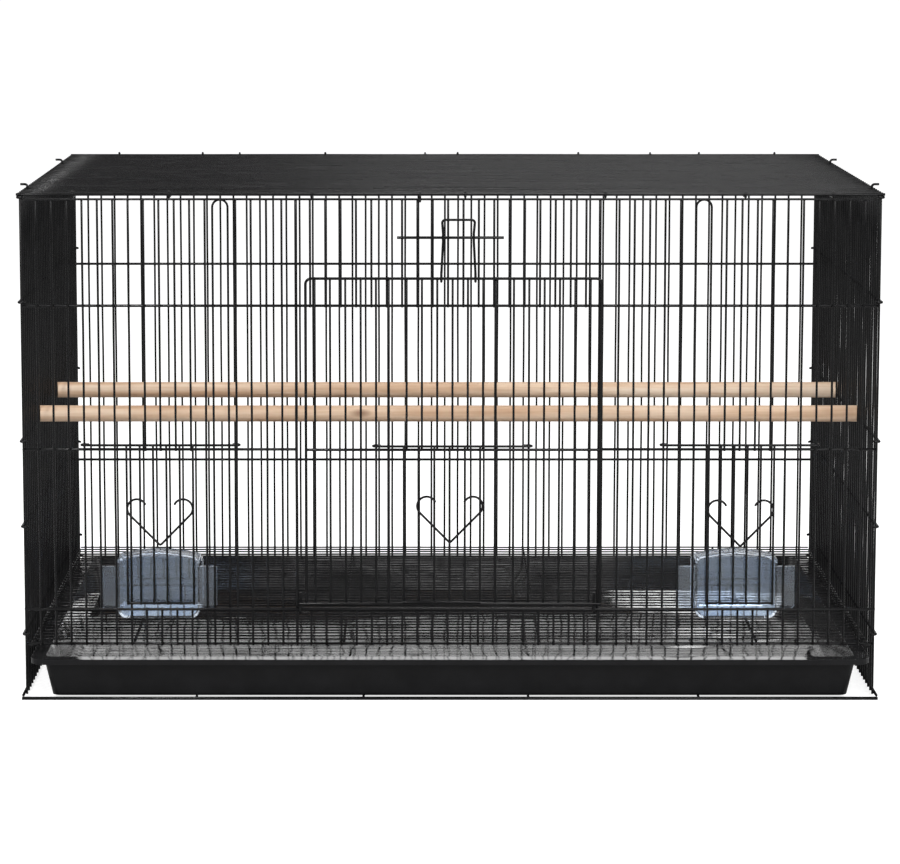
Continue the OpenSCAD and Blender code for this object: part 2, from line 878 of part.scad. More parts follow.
front_uprights();
front_door_jambs();
front_inner_rails();
front_top_rail();
door_hinge_rail();
latch_bridge_wire();
front_hairpins();
back_uprights();
back_inner_rails();
back_top_rail();
side_uprights(-1);  // left_uprights
side_rails(-1);  // left_rails
side_uprights(1);  // right_uprights
side_rails(1);  // right_rails
roof_long_wires();
roof_cross_wires();
roof_side_hooks();
roof_front_clip();
roof_back_rings();
base_sills();
base_side_wires();
base_cross_wires();
grate_runners();
front_perch();
rear_perch();
main_door_frame();
main_door_hooks();
main_door_rails();
main_door_wires();
main_door_jambs();
door_latch();
centre_door_bars();
centre_door_wires();
centre_heart_pull();
feeder_door_bars(left_bays, left_guides, feeder_shift[0]);  // left_feeder_door_bars
feeder_door_wires(left_bays, feeder_shift[0]);  // left_feeder_door_wires
feeder_heart(left_bays, feeder_shift[0], heart_rise[0]);  // left_heart_pull
feeder_door_bars(right_bays, right_guides, feeder_shift[1]);  // right_feeder_door_bars
feeder_door_wires(right_bays, feeder_shift[1]);  // right_feeder_door_wires
feeder_heart(right_bays, feeder_shift[1], heart_rise[2]);  // right_heart_pull
grate_long_wires();
grate_cross_wires();
tray();
feeder_cup(left_bays, cup_shift[0]);  // left_feeder_cup
feeder_cup(right_bays, cup_shift[1]);  // right_feeder_cup
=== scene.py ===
import bpy
import math
import random
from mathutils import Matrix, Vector


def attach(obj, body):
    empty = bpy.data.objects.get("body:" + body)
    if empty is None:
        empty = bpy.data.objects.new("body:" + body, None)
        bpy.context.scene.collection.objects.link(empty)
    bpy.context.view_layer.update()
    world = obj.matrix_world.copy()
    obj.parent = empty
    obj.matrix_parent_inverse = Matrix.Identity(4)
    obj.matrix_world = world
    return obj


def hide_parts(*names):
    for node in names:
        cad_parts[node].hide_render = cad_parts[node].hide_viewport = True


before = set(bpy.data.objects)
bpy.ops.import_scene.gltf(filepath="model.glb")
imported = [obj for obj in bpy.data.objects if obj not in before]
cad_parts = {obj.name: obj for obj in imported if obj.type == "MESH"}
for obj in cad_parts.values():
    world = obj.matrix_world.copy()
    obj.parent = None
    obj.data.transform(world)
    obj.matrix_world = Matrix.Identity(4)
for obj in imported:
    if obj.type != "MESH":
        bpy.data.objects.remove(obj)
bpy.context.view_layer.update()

# ---------------------------------------------------------------- camera
cam_data = bpy.data.cameras.new("camera")
cam = bpy.data.objects.new("camera", cam_data)
bpy.context.collection.objects.link(cam)
bpy.context.scene.camera = cam
CAMERA_PITCH = 7
cam_data.lens = 128.192
cam_data.sensor_width = 36
cam_data.shift_x = 0.04355
cam_data.shift_y = -0.13983
cam.location = (-0.03481, -3.02408, 0.69673)
cam.rotation_euler = (math.radians(90 - CAMERA_PITCH), 0, 0)

# ---------------------------------------------------------------- sizes, in mm, as in the CAD
PITCH, SLIDE_PITCH = 13.5, 11.75
FRONT_BAYS, SIDE_BAYS, ROOF_ROWS, GRATE_ROWS = 56, 34, 38, 36
HALF = FRONT_BAYS * PITCH / 2
DEPTH = SIDE_BAYS * PITCH
FRONT = -220.53403
BACK = FRONT + DEPTH
ROOF = 450.0
SLOT = 48.6
HINGE = 80.7
FEEDER_TOP = 224.3
DOOR_TOP = 352.6
TOP_RAIL = ROOF - 2.8
BACK_RAILS = (36, 137.2, 340.1)
SIDE_RAILS = (57.8, 155.2, 231.9, 356)
WIRE, RAIL, SILL, JAMB, BAR, TIE = 2.0, 2.5, 3.0, 2.7, 2.2, 1.8
WELD = 0.05
GAP = 0.4
RAIL_OUT = (WIRE + RAIL) / 2 - WELD
WIRE_OUT = WIRE - WELD
UP_TOP = ROOF - 2.35
CORNER_TOP = ROOF - 0.3
UP_FOOT = SLOT - 1.2
DOOR_Z = HINGE + 296.8
DOOR_X, FRAME_X, DOOR_W, DOOR_FOOT, DOOR_MID = 2, 3, 261, 5.5, 144.4
BRIDGE_Z = DOOR_Z + 35.9
DOOR_BAYS, JAMB_SHIFT = (18, 38), (-1, -3.4)
LEFT_BAYS, RIGHT_BAYS = (7, 12), (45, 50)
HAIRPIN_BAYS, EMPTY_BAYS = (13, 44.5), (13, 18, 38, 44, 45)
DOOR_WIRES, DOOR_JAMBS, DOOR_JAMB_SHIFT = 19, (5, 12), -2.5
TOP_INSET = 3.75
SILL_OUT = 10
SIDE_X = HALF + RAIL_OUT
SIDE_TOP = ROOF + WELD - RAIL / 2
HINGE_R = 2.8
HOOK_SHIFT = (-5.5, -5.2)
HOOK_TOP = 14.5
DOOR_OUT = RAIL_OUT + HINGE_R
AXIS_X, AXIS_Y, AXIS_Z = (1, 0, 0), (0, 1, 0), (0, 0, 1)
# Where the middle of a fillet lies from the middle of a wire, and the fillets' sizes
THIN_CROSS, SLIDE_CROSS, DOOR_CROSS = 0.97, 0.98, 1.22
THIN_FILLET, SLIDE_FILLET, ROW_FILLET, FILLET = 0.9, 1.05, 1.1, 1.25


def bay_x(i):
    return i * PITCH - HALF


def in_door(i):
    return DOOR_BAYS[0] < i < DOOR_BAYS[1]


def in_feeder(i):
    return any(a < i < b for a, b in (LEFT_BAYS, RIGHT_BAYS))


def front_x(i):
    """The uprights over and under the main door stand 2 mm to the left."""
    return bay_x(i) - (2 if in_door(i) else 0)


def side_y(k):
    return FRONT + k * PITCH


def roof_y(k):
    return FRONT + k * DEPTH / ROOF_ROWS


def door_wire_x(k):
    return DOOR_X + (k - DOOR_WIRES // 2) * PITCH


# ---------------------------------------------------------------- wires as smooth tubes
def bent(points, radii):
    """The points of a wire through corners, each rounded to its own radius."""
    points = [Vector(p) for p in points]
    out = [points[0]]
    for i in range(1, len(points) - 1):
        a = (points[i] - points[i - 1]).normalized()
        b = (points[i + 1] - points[i]).normalized()
        turn = a.angle(b)
        if turn < 1e-4:
            continue
        trim = radii[i] * math.tan(turn / 2)
        start = points[i] - a * trim
        inward = (b - a * a.dot(b)).normalized()
        centre = start + inward * radii[i]
        steps = max(2, round(math.degrees(turn) / 15))
        for s in range(steps + 1):
            t = turn * s / steps
            out.append(centre - inward * radii[i] * math.cos(t) + a * radii[i] * math.sin(t))
    out.append(points[-1])
    return out


def arc(centre, u, v, r, a0, a1, steps=12):
    """Points on an arc round a centre, in the plane of u and v, from a0 to a1 degrees."""
    c, u, v = Vector(centre), Vector(u), Vector(v)
    return [c + r * (math.cos(t) * u + math.sin(t) * v)
            for t in (math.radians(a0 + (a1 - a0) * s / steps) for s in range(steps + 1))]


class Node:
    """One CAD node's wires, gathered into a mesh."""

    def __init__(self, name, sides=12):
        self.name, self.sides = name, sides
        self.verts, self.faces = [], []
        self.rng = random.Random(name)

    def wire(self, points, d, sway=0.0, closed=False, sides=None):
        """A round wire along points, with soft cut ends and a slight sway on its long runs."""
        pts = [Vector(p) for p in points]
        n = sides or self.sides
        r = d / 2
        if sway and not closed:
            dense = [pts[0]]
            for a, b in zip(pts, pts[1:]):
                cuts = max(1, int((b - a).length / 38))
                side = (b - a).cross(Vector((0.31, 0.87, 0.4))).normalized()
                other = (b - a).cross(side).normalized()
                p1, p2, w1, w2 = (self.rng.random() for _ in range(4))
                for s in range(1, cuts + 1):
                    t = s / cuts
                    fade = math.sin(math.pi * t) if cuts > 1 else 0
                    bow = side * math.sin(2 * math.pi * (p1 + (0.7 + w1) * t * 2))
                    bow += other * math.sin(2 * math.pi * (p2 + (0.6 + w2) * t * 2))
                    dense.append(a.lerp(b, t) + bow * sway * fade)
            pts = dense
        count = len(pts)
        dirs = []
        for i in range(count):
            if closed:
                dirs.append((pts[(i + 1) % count] - pts[i - 1]).normalized())
            else:
                a = pts[i] - pts[i - 1] if i else pts[1] - pts[0]
                b = pts[i + 1] - pts[i] if i < count - 1 else a
                dirs.append((a.normalized() + b.normalized()).normalized())
        up = Vector((0, 0, 1)) if abs(dirs[0].z) < 0.8 else Vector((1, 0, 0))
        u = (up - dirs[0] * up.dot(dirs[0])).normalized()
        rings = []
        soft, tip_r, shoulder_r = 0.22 * r, 0.72 * r, 0.93 * r

        def ring(centre, axis, radius):
            nonlocal u
            u = (u - axis * u.dot(axis)).normalized()
            v = axis.cross(u)
            base = len(self.verts)
            for k in range(n):
                a = 2 * math.pi * k / n
                self.verts.append(centre + radius * (math.cos(a) * u + math.sin(a) * v))
            rings.append(base)

        def cap(centre, base, flip):
            self.verts.append(centre)
            tip = len(self.verts) - 1
            for k in range(n):
                a, b = base + k, base + (k + 1) % n
                self.faces.append((b, a, tip) if flip else (a, b, tip))

        if not closed:
            ring(pts[0], dirs[0], tip_r)
            cap(pts[0], rings[0], True)
            ring(pts[0] + dirs[0] * soft * 0.35, dirs[0], shoulder_r)
            ring(pts[0] + dirs[0] * soft, dirs[0], r)
        for i in range(count):
            if closed or 0 < i < count - 1:
                ring(pts[i], dirs[i], r)
        if not closed:
            ring(pts[-1] - dirs[-1] * soft, dirs[-1], r)
            ring(pts[-1] - dirs[-1] * soft * 0.35, dirs[-1], shoulder_r)
            ring(pts[-1], dirs[-1], tip_r)
            cap(pts[-1], rings[-1], False)
        pairs = list(zip(rings, rings[1:])) + ([(rings[-1], rings[0])] if closed else [])
        for a, b in pairs:
            for k in range(n):
                j = (k + 1) % n
                self.faces.append((a + k, a + j, b + j, b + k))

    def rail_x(self, x0, x1, y, z, d=RAIL, sway=0.0):
        self.wire([(x0, y, z), (x1, y, z)], d, sway)

    def rail_y(self, x, y0, y1, z, d=RAIL, sway=0.0):
        self.wire([(x, y0, z), (x, y1, z)], d, sway)

    def upright(self, x, y, z0, z1, d=WIRE, sway=0.0):
        self.wire([(x, y, z0), (x, y, z1)], d, sway)

    def weld(self, at, normal, size=FILLET):
        """The small fillet that a spot weld and its coat leave between two crossing wires."""
        c, w = Vector(at), Vector(normal).normalized()
        u = w.orthogonal().normalized()
        v = w.cross(u)
        s = size * self.rng.uniform(0.9, 1.1)
        base = len(self.verts)
        rows = ((-0.62, 0.55), (-0.3, 0.9), (0, 1), (0.3, 0.9), (0.62, 0.55))
        for h, rad in rows:
            for k in range(8):
                a = math.pi * k / 4
                self.verts.append(c + s * (h * w + rad * (math.cos(a) * u + math.sin(a) * v)))
        for i in range(4):
            for k in range(8):
                j = (k + 1) % 8
                a = base + i * 8
                self.faces.append((a + k, a + j, a + 8 + j, a + 8 + k))
        self.faces.append(tuple(base + k for k in range(7, -1, -1)))
        self.faces.append(tuple(base + 32 + k for k in range(8)))

    def make(self, body, mat):
        mesh = bpy.data.meshes.new(self.name + "_coat")
        mesh.from_pydata([v * 0.001 for v in self.verts], [], self.faces)
        mesh.polygons.foreach_set("use_smooth", [True] * len(mesh.polygons))
        mesh.materials.append(mat)
        mesh.update()
        obj = bpy.data.objects.new(self.name + "_coat", mesh)
        bpy.context.collection.objects.link(obj)
        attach(obj, body)
        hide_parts(self.name)
        return obj


# ---------------------------------------------------------------- materials
def new_material(name):
    m = bpy.data.materials.new(name)
    m.use_nodes = True
    nt = m.node_tree
    return m, nt, nt.nodes["Principled BSDF"]


def put(nt, kind, **values):
    n = nt.nodes.new(kind)
    for k, v in values.items():
        if hasattr(n, k):
            setattr(n, k, v)
        else:
            n.inputs[k.replace("_", " ")].default_value = v
    return n


def ramp(nt, source, stops):
    n = nt.nodes.new("ShaderNodeValToRGB")
    while len(n.color_ramp.elements) < len(stops):
        n.color_ramp.elements.new(0.5)
    for e, (p, c) in zip(n.color_ramp.elements, stops):
        e.position = p
        e.color = (*c, 1) if isinstance(c, tuple) else (c, c, c, 1)
    nt.links.new(source, n.inputs[0])
    return n.outputs[0]


def noise(nt, coords, scale, detail=3.0, rough=0.5, stretch=None):
    if stretch:
        mp = nt.nodes.new("ShaderNodeMapping")
        mp.inputs["Scale"].default_value = stretch
        nt.links.new(coords, mp.inputs[0])
        coords = mp.outputs[0]
    n = put(nt, "ShaderNodeTexNoise", Scale=scale, Detail=detail, Roughness=rough)
    nt.links.new(coords, n.inputs["Vector"])
    return n.outputs["Fac"]


def bump(nt, bsdf, height, strength, distance, chain=None):
    n = put(nt, "ShaderNodeBump", Strength=strength, Distance=distance)
    nt.links.new(height, n.inputs["Height"])
    if chain:
        nt.links.new(chain, n.inputs["Normal"])
    nt.links.new(n.outputs[0], bsdf.inputs["Normal"])
    return n.outputs[0]


def multiply(nt, under, over, amount):
    n = put(nt, "ShaderNodeMix", data_type="RGBA", blend_type="MULTIPLY")
    n.inputs[0].default_value = amount
    nt.links.new(under, n.inputs[6])
    nt.links.new(over, n.inputs[7])
    return n.outputs[2]


def to_the_eye(nt, path):
    """1 for rays from the camera, straight or through the clear cups, else 0."""
    n = nt.nodes.new("ShaderNodeMath")
    n.operation = "MAXIMUM"
    nt.links.new(path.outputs["Is Camera Ray"], n.inputs[0])
    nt.links.new(path.outputs["Is Transmission Ray"], n.inputs[1])
    return n.outputs[0]


def black_coat():
    """Satin black powder coat: faint orange peel, and colour and gloss that vary in clouds."""
    m, nt, b = new_material("black_coat")
    co = put(nt, "ShaderNodeTexCoord").outputs["Object"]
    cloud = noise(nt, co, 35, 3)
    fine = noise(nt, co, 2400, 2, 0.6)
    nt.links.new(ramp(nt, cloud, [(0.3, (0.0025, 0.0025, 0.0028)),
                                  (0.72, (0.007, 0.007, 0.0074))]),
                 b.inputs["Base Color"])
    nt.links.new(ramp(nt, cloud, [(0.3, 0.15), (0.7, 0.27)]), b.inputs["Roughness"])
    b.inputs["Specular IOR Level"].default_value = 0.2
    peel = bump(nt, b, cloud, 0.15, 0.0004)
    bump(nt, b, fine, 0.1, 0.00003, peel)
    return m


def perch_wood():
    """Bare pine dowel: streaks along X, a few knots and fine fibre, paler where it is planed."""
    m, nt, b = new_material("perch_wood")
    co = put(nt, "ShaderNodeTexCoord").outputs["Object"]
    streak = noise(nt, co, 70, 6, 0.62, (0.05, 1.6, 1.6))
    broad = noise(nt, co, 16, 3, 0.5, (0.5, 2, 2))
    fibre = noise(nt, co, 900, 3, 0.6, (0.03, 1, 1))
    knots = put(nt, "ShaderNodeTexVoronoi", Scale=13.0)
    mp = nt.nodes.new("ShaderNodeMapping")
    mp.inputs["Scale"].default_value = (1, 3, 3)
    nt.links.new(co, mp.inputs[0])
    nt.links.new(mp.outputs[0], knots.inputs["Vector"])
    grain = ramp(nt, streak, [(0.3, (0.52, 0.335, 0.215)), (0.5, (0.69, 0.50, 0.355)),
                              (0.68, (0.82, 0.67, 0.53))])
    patches = ramp(nt, broad, [(0.36, (0.72, 0.56, 0.44)), (0.6, (1, 1, 1))])
    spots = ramp(nt, knots.outputs["Distance"],
                 [(0.06, (0.25, 0.14, 0.09)), (0.17, (1, 1, 1))])
    planed = multiply(nt, grain, patches, 0.6)
    nt.links.new(multiply(nt, planed, spots, 0.85), b.inputs["Base Color"])
    nt.links.new(ramp(nt, streak, [(0.2, 0.72), (0.8, 0.55)]), b.inputs["Roughness"])
    b.inputs["Specular IOR Level"].default_value = 0.3
    fibres = bump(nt, b, fibre, 0.25, 0.0002)
    bump(nt, b, streak, 0.25, 0.0005, fibres)
    return m


def tray_gloss():
    """The tray's polished inside: a black sheet, a little wavy, with fine dust and a haze."""
    m, nt, b = new_material("tray_gloss")
    co = put(nt, "ShaderNodeTexCoord").outputs["Object"]
    sag = noise(nt, co, 6.5, 2, 0.45, (0.6, 1.2, 1))
    haze = noise(nt, co, 60, 4, 0.6)
    fine = noise(nt, co, 1400, 2)
    nt.links.new(ramp(nt, haze, [(0.3, (0.006, 0.006, 0.0065)), (0.75, (0.011, 0.011, 0.012))]),
                 b.inputs["Base Color"])
    nt.links.new(ramp(nt, haze, [(0.35, 0.03), (0.7, 0.09)]), b.inputs["Roughness"])
    b.inputs["IOR"].default_value = 1.7
    b.inputs["Specular IOR Level"].default_value = 1.0
    b.inputs["Coat Weight"].default_value = 0.6
    b.inputs["Coat Roughness"].default_value = 0.04
    b.inputs["Coat IOR"].default_value = 1.6
    wave = bump(nt, b, sag, 1.0, 0.012)
    bump(nt, b, fine, 0.04, 0.00004, wave)
    return m


def tray_satin():
    """The tray's outside: the same sheet with the fine satin texture of its mould."""
    m, nt, b = new_material("tray_satin")
    co = put(nt, "ShaderNodeTexCoord").outputs["Object"]
    haze = noise(nt, co, 45, 4, 0.6)
    grit = noise(nt, co, 1800, 3, 0.6)
    nt.links.new(ramp(nt, haze, [(0.3, (0.004, 0.004, 0.0045)), (0.75, (0.008, 0.008, 0.009))]),
                 b.inputs["Base Color"])
    nt.links.new(ramp(nt, haze, [(0.35, 0.28), (0.7, 0.4)]), b.inputs["Roughness"])
    b.inputs["Specular IOR Level"].default_value = 0.2
    bump(nt, b, grit, 0.15, 0.00006)
    return m


def clear_shell():
    """Clear moulded plastic with a faint blue tint, light scuffs and a slight haze."""
    m, nt, b = new_material("clear_shell")
    co = put(nt, "ShaderNodeTexCoord").outputs["Object"]
    haze = noise(nt, co, 26, 4, 0.6)
    scuff = noise(nt, co, 420, 4, 0.65, (1, 1, 0.2))
    nt.links.new(ramp(nt, haze, [(0.3, (0.72, 0.83, 1.0)), (0.7, (0.86, 0.93, 1.0))]),
                 b.inputs["Base Color"])
    nt.links.new(ramp(nt, scuff, [(0.5, 0.0), (0.78, 0.07)]), b.inputs["Roughness"])
    b.inputs["Transmission Weight"].default_value = 0.98
    b.inputs["IOR"].default_value = 1.38
    bump(nt, b, haze, 0.1, 0.0006)
    return m


coat, wood, clear = black_coat(), perch_wood(), clear_shell()
gloss, satin = tray_gloss(), tray_satin()

# ---------------------------------------------------------------- front panel
CAGE = "cage"
n = Node("front_uprights")
for i in range(FRONT_BAYS + 1):
    if in_door(i) or in_feeder(i):
        n.upright(front_x(i), FRONT, UP_FOOT, HINGE + RAIL / 2 - WELD)
        opening_top = DOOR_TOP if in_door(i) else FEEDER_TOP
        n.upright(front_x(i), FRONT, opening_top - RAIL / 2, UP_TOP)
    elif i in (0, FRONT_BAYS):
        n.upright(bay_x(i), FRONT, SILL, CORNER_TOP)
    elif i not in EMPTY_BAYS:
        n.upright(bay_x(i), FRONT, UP_FOOT, UP_TOP, sway=0.12)
n.make(CAGE, coat)

JAMB_X = [bay_x(i) + shift for i, shift in zip(DOOR_BAYS, JAMB_SHIFT)]
n = Node("front_door_jambs", 16)
for x in JAMB_X:
    n.upright(x, FRONT, UP_FOOT, UP_TOP, JAMB - 2 * WELD, 0.1)
n.make(CAGE, coat)

n = Node("front_inner_rails")
y = FRONT + RAIL_OUT
n.rail_x(-HALF, HALF, y, SLOT)
n.rail_x(-HALF, HALF, y, DOOR_TOP)
n.rail_x(-HALF, JAMB_X[0], y, FEEDER_TOP)
n.rail_x(JAMB_X[1], HALF, y, FEEDER_TOP)
for i in range(FRONT_BAYS + 1):
    x = JAMB_X[DOOR_BAYS.index(i)] if i in DOOR_BAYS else front_x(i)
    for z in (SLOT, DOOR_TOP) + (() if in_door(i) else (FEEDER_TOP,)):
        n.weld((x, FRONT + 1, z), AXIS_Y)
n.make(CAGE, coat)

n = Node("front_top_rail")
n.rail_x(TOP_INSET - HALF, HALF - TOP_INSET, FRONT - WIRE_OUT, TOP_RAIL, WIRE)
for i in range(1, FRONT_BAYS):
    n.weld((front_x(i), FRONT - THIN_CROSS, TOP_RAIL), AXIS_Y, THIN_FILLET)
n.make(CAGE, coat)

n = Node("door_hinge_rail", 16)
n.rail_x(-HALF, HALF, FRONT - RAIL_OUT, HINGE)
for i in range(FRONT_BAYS + 1):
    if i not in DOOR_BAYS:
        n.weld((front_x(i), FRONT - 1, HINGE), AXIS_Y)
n.make(CAGE, coat)

n = Node("latch_bridge_wire")
n.rail_x(-47, 47, FRONT - RAIL_OUT, BRIDGE_Z)
for i in range(25, 32):
    n.weld((front_x(i), FRONT - 1, BRIDGE_Z), AXIS_Y)
n.make(CAGE, coat)

n = Node("front_hairpins")
for i in HAIRPIN_BAYS:
    x, r = bay_x(i), PITCH / 2
    n.wire(bent([(x - r, FRONT, UP_FOOT), (x - r, FRONT, UP_TOP - 1),
                 (x + r, FRONT, UP_TOP - 1), (x + r, FRONT, UP_FOOT)],
                [0, r - 0.2, r - 0.2, 0]), WIRE)
n.make(CAGE, coat)

# ---------------------------------------------------------------- back and sides
n = Node("back_uprights")
for i in range(FRONT_BAYS + 1):
    top = CORNER_TOP if i in (0, FRONT_BAYS) else UP_TOP
    n.upright(bay_x(i), BACK, SILL - WELD, top, sway=0.15)
n.make(CAGE, coat)

n = Node("back_inner_rails")
for z in BACK_RAILS:
    n.rail_x(-HALF, HALF, BACK - RAIL_OUT, z)
    for i in range(FRONT_BAYS + 1):
        n.weld((bay_x(i), BACK - 1, z), AXIS_Y)
n.make(CAGE, coat)

n = Node("back_top_rail")
n.rail_x(TOP_INSET - HALF, HALF - TOP_INSET, BACK + WIRE_OUT, TOP_RAIL, WIRE)
for i in range(1, FRONT_BAYS):
    n.weld((bay_x(i), BACK + THIN_CROSS, TOP_RAIL), AXIS_Y, THIN_FILLET)
n.make(CAGE, coat)

for name, s in (("left", -1), ("right", 1)):
    n = Node(name + "_uprights")
    for k in range(1, SIDE_BAYS):
        n.upright(s * HALF, side_y(k), SILL, CORNER_TOP, sway=0.15)
    n.make(CAGE, coat)
    n = Node(name + "_rails")
    for z in SIDE_RAILS + (SIDE_TOP,):
        pts = arc((s * HALF, FRONT, z), (s, 0, 0), (0, -1, 0), RAIL_OUT, 180, 0)
        pts += arc((s * HALF, BACK, z), (s, 0, 0), (0, 1, 0), RAIL_OUT, 0, 180)
        n.wire(pts, RAIL)
        for k in range(1, SIDE_BAYS):
            n.weld((s * (HALF + 1), side_y(k), z), AXIS_X)
    n.make(CAGE, coat)

# ---------------------------------------------------------------- roof
ROOF_X = (-332, -247, -122, 13, 136, 259, 336)
CLIP_X, RING_X = -26.6, (-209.25, -20.25, 209.25)
SIDE_HOOK_DEPTHS = (57, 344.2)
EDGE_Z = ROOF + RAIL / 2
n = Node("roof_long_wires")
for k in range(ROOF_ROWS + 1):
    d = RAIL if k in (0, ROOF_ROWS) else WIRE
    n.rail_x(-SIDE_X - 1.3, SIDE_X + 1.3, roof_y(k), ROOF + d / 2, d, 0.12)
n.make(CAGE, coat)

n = Node("roof_cross_wires")
for x in ROOF_X:
    r = (RAIL + BAR) / 2 - WELD
    pts = arc((x, FRONT, EDGE_Z), (0, 1, 0), (0, 0, 1), r, -290, -90, 16)
    pts += arc((x, BACK, EDGE_Z), (0, 1, 0), (0, 0, 1), r, -90, 110, 16)
    n.wire(pts, BAR)
    for k in range(1, ROOF_ROWS):
        n.weld((x, roof_y(k), ROOF), AXIS_Z, ROW_FILLET)
n.make(CAGE, coat)

n = Node("roof_side_hooks")
hook_x = SIDE_X - ((RAIL + BAR) / 2 - WELD)
for s in (-1, 1):
    for depth in SIDE_HOOK_DEPTHS:
        y = FRONT + depth
        n.wire(bent([(s * hook_x, y, SIDE_TOP - 0.4), (s * hook_x, y, ROOF + 5.5),
                     (s * (hook_x + 6.5), y, ROOF + 5.5)], [0, 2.5, 0]), BAR)
n.make(CAGE, coat)


def tie_ring(node, x, y, out):
    """A ring of wire round the roof's edge wire and a top rail, which lies on side out."""
    span = math.hypot(WIRE_OUT, EDGE_Z - TOP_RAIL)
    r = (span + RAIL / 2 + WIRE / 2 - WELD + TIE) / 2
    t = (r - TIE / 2 + WELD / 2 - RAIL / 2) / span
    centre = (x, y + t * out * WIRE_OUT, EDGE_Z + t * (TOP_RAIL - EDGE_Z))
    node.wire(arc(centre, (0, 1, 0), (0, 0, 1), r, 0, 345, 23), TIE, closed=True)


n = Node("roof_front_clip")
tie_ring(n, CLIP_X, FRONT, -1)
n.make(CAGE, coat)
n = Node("roof_back_rings")
for x in RING_X:
    tie_ring(n, x, BACK, 1)
n.make(CAGE, coat)

# ---------------------------------------------------------------- base
BASE_CROSS_X = (-226, -77, 70, 222)
n = Node("base_sills", 16)
for y in (FRONT - SILL_OUT, BACK):
    n.rail_x(-SIDE_X - RAIL / 2, SIDE_X + RAIL / 2, y, SILL / 2, SILL)
n.make(CAGE, coat)
n = Node("base_side_wires")
for s in (-1, 1):
    n.rail_y(s * SIDE_X, FRONT - SILL_OUT, BACK, SILL + RAIL / 2 - WELD)
    for k in range(1, SIDE_BAYS):
        n.weld((s * (HALF + 1), side_y(k), SILL + 1.2), AXIS_X)
n.make(CAGE, coat)
n = Node("base_cross_wires")
for x in BASE_CROSS_X:
    n.rail_y(x, FRONT - 8.55, BACK - 1.45, SILL - BAR / 2, BAR)
n.make(CAGE, coat)
GRATE_D = 1.5
GRATE_Z = SLOT - RAIL / 2 - 1.05 - GRATE_D / 2
RUNNER_X = HALF - RAIL_OUT
n = Node("grate_runners")
for s in (-1, 1):
    n.rail_y(s * RUNNER_X, FRONT + PITCH, BACK - PITCH, GRATE_Z - GRATE_D / 2 - GAP - RAIL / 2)
n.make(CAGE, coat)

# ---------------------------------------------------------------- main door
DOOR_L, DOOR_R = FRAME_X - DOOR_W / 2, FRAME_X + DOOR_W / 2
y = FRONT - DOOR_OUT
n = Node("main_door_frame", 16)
foot = HINGE + DOOR_FOOT + RAIL / 2 - WELD
n.wire(bent([(DOOR_L, y, foot), (DOOR_L, y, DOOR_Z), (DOOR_R, y, DOOR_Z), (DOOR_R, y, foot)],
            [0, 5, 5, 0]), RAIL)
n.make("main_door", coat)
n = Node("main_door_hooks", 16)
for x in (DOOR_L + HOOK_SHIFT[0], DOOR_R + HOOK_SHIFT[1]):
    inner, low, turn = y + 2 * HINGE_R, HINGE - HINGE_R, HINGE_R - 0.2
    n.wire(bent([(x, inner, HINGE + HOOK_TOP), (x, inner, low), (x, y, low),
                 (x, y, HINGE + DOOR_FOOT - RAIL / 2 + WELD)], [0, turn, turn, 0]), RAIL)
n.make("main_door", coat)
DOOR_WIRE_Y = y + RAIL_OUT
n = Node("main_door_rails", 16)
n.rail_x(DOOR_L + HOOK_SHIFT[0] - RAIL / 2, DOOR_R + RAIL / 2, y, HINGE + DOOR_FOOT)
n.rail_x(DOOR_L + 1.2, DOOR_R - 1.2, y, HINGE + DOOR_MID)
for k in range(DOOR_WIRES):
    shift = DOOR_JAMB_SHIFT if k in DOOR_JAMBS else 0
    opening = DOOR_JAMBS[0] < k < DOOR_JAMBS[1]
    zs = (HINGE + DOOR_MID, DOOR_Z) + (() if opening else (HINGE + DOOR_FOOT,))
    for z in zs:
        n.weld((door_wire_x(k) + shift, y + DOOR_CROSS, z), AXIS_Y)
n.make("main_door", coat)
n = Node("main_door_wires")
for k in range(DOOR_WIRES):
    if k not in DOOR_JAMBS:
        opening = DOOR_JAMBS[0] < k < DOOR_JAMBS[1]
        foot = DOOR_MID - 1 if opening else DOOR_FOOT - 1
        n.upright(door_wire_x(k), DOOR_WIRE_Y, HINGE + foot, DOOR_Z + 1)
n.make("main_door", coat)
n = Node("main_door_jambs", 16)
for k in DOOR_JAMBS:
    n.upright(door_wire_x(k) + DOOR_JAMB_SHIFT, y + RAIL - WELD,
              HINGE + DOOR_FOOT - 1, DOOR_Z + 1, RAIL)
n.make("main_door", coat)

# The latch: one half from its hook to its finger loop, mirrored about LATCH_X
LATCH_X = 7
LATCH_R = RAIL / 2 + 0.3 + BAR / 2
n = Node("door_latch", 16)
rest = FRONT - (RAIL_OUT + RAIL / 2 + GAP + BAR / 2)
low = DOOR_Z - LATCH_R
half = [(15, y + LATCH_R, DOOR_Z + 6), (15, y + LATCH_R, low), (15, y - LATCH_R, low),
        (15, y - LATCH_R, DOOR_Z + 4), (13.5, rest, BRIDGE_Z - 3), (13.5, rest, BRIDGE_Z + 4),
        (14.5, rest - 6, DOOR_Z + 52.4)]
radii = [0, LATCH_R - 0.2, LATCH_R - 0.2, 8, 8, 4, 3]
other_half = [(LATCH_X + a, b, c) for a, b, c in half[::-1]]
n.wire(bent([(LATCH_X - a, b, c) for a, b, c in half] + other_half, radii + radii[::-1]), BAR)
n.make("latch", coat)


